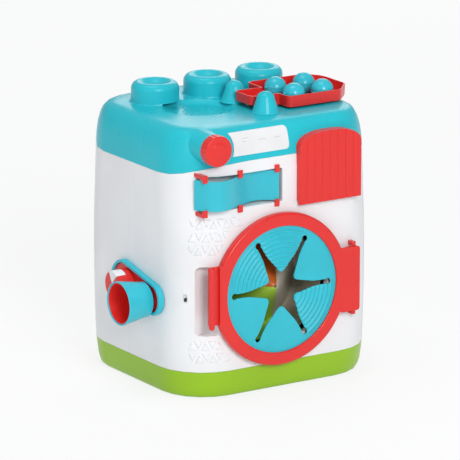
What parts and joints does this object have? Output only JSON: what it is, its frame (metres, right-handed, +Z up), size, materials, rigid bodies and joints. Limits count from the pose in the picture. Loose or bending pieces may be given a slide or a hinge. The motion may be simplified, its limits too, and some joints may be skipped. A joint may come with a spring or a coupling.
{
  "type": "toy washing machine",
  "caption": "Toy washing machine: hinged door with a star-slit membrane, turning drum, hopper, dial, wave panel, side cup with spinner, and a tilting ball tray on top.",
  "frame": {"origin": "middle of the flat underside of the base", "axes": "+Z up, the door faces -Y, the side cup stands out towards -X"},
  "size_m": [0.5368, 0.4391, 0.586],
  "materials": {
    "teal_plastic": "satin moulded",
    "red_plastic": "satin moulded",
    "lime_plastic": "satin moulded",
    "white_plastic": "satin moulded",
    "teal_rubber": "matte",
    "orange_plastic": "satin moulded",
    "grey_plastic": "satin moulded",
    "black_plastic": "matte",
    "steel": "plated",
    "board_green": "matte"
  },
  "bodies": {
    "body": {"base_tub": "lime_plastic", "front_shell": "white_plastic", "rear_shell": "white_plastic", "top_cover": "teal_plastic", "handle_pocket": "white_plastic", "wave_pocket": "white_plastic", "tray_post_front": "teal_plastic", "tray_post_back": "teal_plastic", "label_plate": "white_plastic", "click_pawl": "white_plastic", "wave_panel": "teal_plastic", "wave_clip_1": "red_plastic", "wave_clip_2": "red_plastic", "wave_clip_3": "red_plastic", "wave_clip_4": "red_plastic", "wave_clip_5": "red_plastic", "wave_clip_6": "red_plastic", "base_screw_1": "steel", "base_screw_2": "steel", "base_screw_3": "steel", "base_screw_4": "steel", "hinge_knuckle_upper": "red_plastic", "hinge_knuckle_lower": "red_plastic", "hinge_pin": "steel", "hopper_pin": "steel", "drum_carrier": "white_plastic", "drum_axle": "steel", "side_bezel": "teal_plastic", "side_face": "red_plastic", "side_cup": "teal_plastic", "cup_liner": "red_plastic", "switch_frame": "black_plastic", "speaker": "black_plastic", "circuit_board": "board_green", "battery_box": "black_plastic", "battery_cover": "white_plastic"},
    "dial": {"dial_knob": "red_plastic", "dial_spindle": "white_plastic", "click_wheel": "white_plastic"},
    "door": {"door_ring": "red_plastic", "door_membrane": "teal_rubber", "membrane_retainer": "red_plastic"},
    "hopper": {"hopper_flap": "red_plastic"},
    "spinner": {"spinner_knob": "red_plastic", "spinner_wedge": "white_plastic"},
    "drum": {"drum_sector_orange": "orange_plastic", "drum_sector_green": "lime_plastic", "drum_sector_grey": "grey_plastic", "drum_back": "white_plastic"},
    "tilt_tray": {"tray": "red_plastic"},
    "switch": {"switch_slider": "black_plastic"},
    "ball_a": {"ball_1": "teal_plastic"},
    "ball_b": {"ball_2": "orange_plastic"},
    "ball_c": {"ball_3": "lime_plastic"},
    "ball_d": {"ball_4": "teal_plastic"}
  },
  "joints": [
    {"name": "dial_turn", "type": "hinge", "parent": "body", "child": "dial", "pos_m": [-0.166, -0.203, 0.505], "axis": [0, -1, 0], "continuous": true},
    {"name": "door_hinge", "type": "hinge", "parent": "body", "child": "door", "pos_m": [0.154, -0.217, 0.207], "axis": [0, 0, 1], "range_deg": [0, 95]},
    {"name": "hopper_hinge", "type": "hinge", "parent": "body", "child": "hopper", "pos_m": [0.0975, -0.206, 0.378], "axis": [1, 0, 0], "range_deg": [0, 30]},
    {"name": "spinner_turn", "type": "hinge", "parent": "body", "child": "spinner", "pos_m": [-0.2395, -0.003, 0.203], "axis": [-1, 0, 0], "continuous": true},
    {"name": "drum_turn", "type": "hinge", "parent": "body", "child": "drum", "pos_m": [-0.018, -0.102, 0.207], "axis": [0, -1, 0], "continuous": true},
    {"name": "tray_tilt", "type": "hinge", "parent": "body", "child": "tilt_tray", "pos_m": [0.0105, -0.0615, 0.56], "axis": [0, -1, 0], "range_deg": [0, 50]},
    {"name": "switch_slide", "type": "slide", "parent": "body", "child": "switch", "axis": [0, 0, 1], "range_m": [0, 0.0056]},
    {"name": "ball_a_lift", "type": "slide", "parent": "tilt_tray", "child": "ball_a", "axis": [0, 0, 1], "range_m": [0, 0.06]},
    {"name": "ball_b_lift", "type": "slide", "parent": "tilt_tray", "child": "ball_b", "axis": [0, 0, 1], "range_m": [0, 0.06]},
    {"name": "ball_c_lift", "type": "slide", "parent": "tilt_tray", "child": "ball_c", "axis": [0, 0, 1], "range_m": [0, 0.06]},
    {"name": "ball_d_lift", "type": "slide", "parent": "tilt_tray", "child": "ball_d", "axis": [0, 0, 1], "range_m": [0, 0.06]}
  ]
}
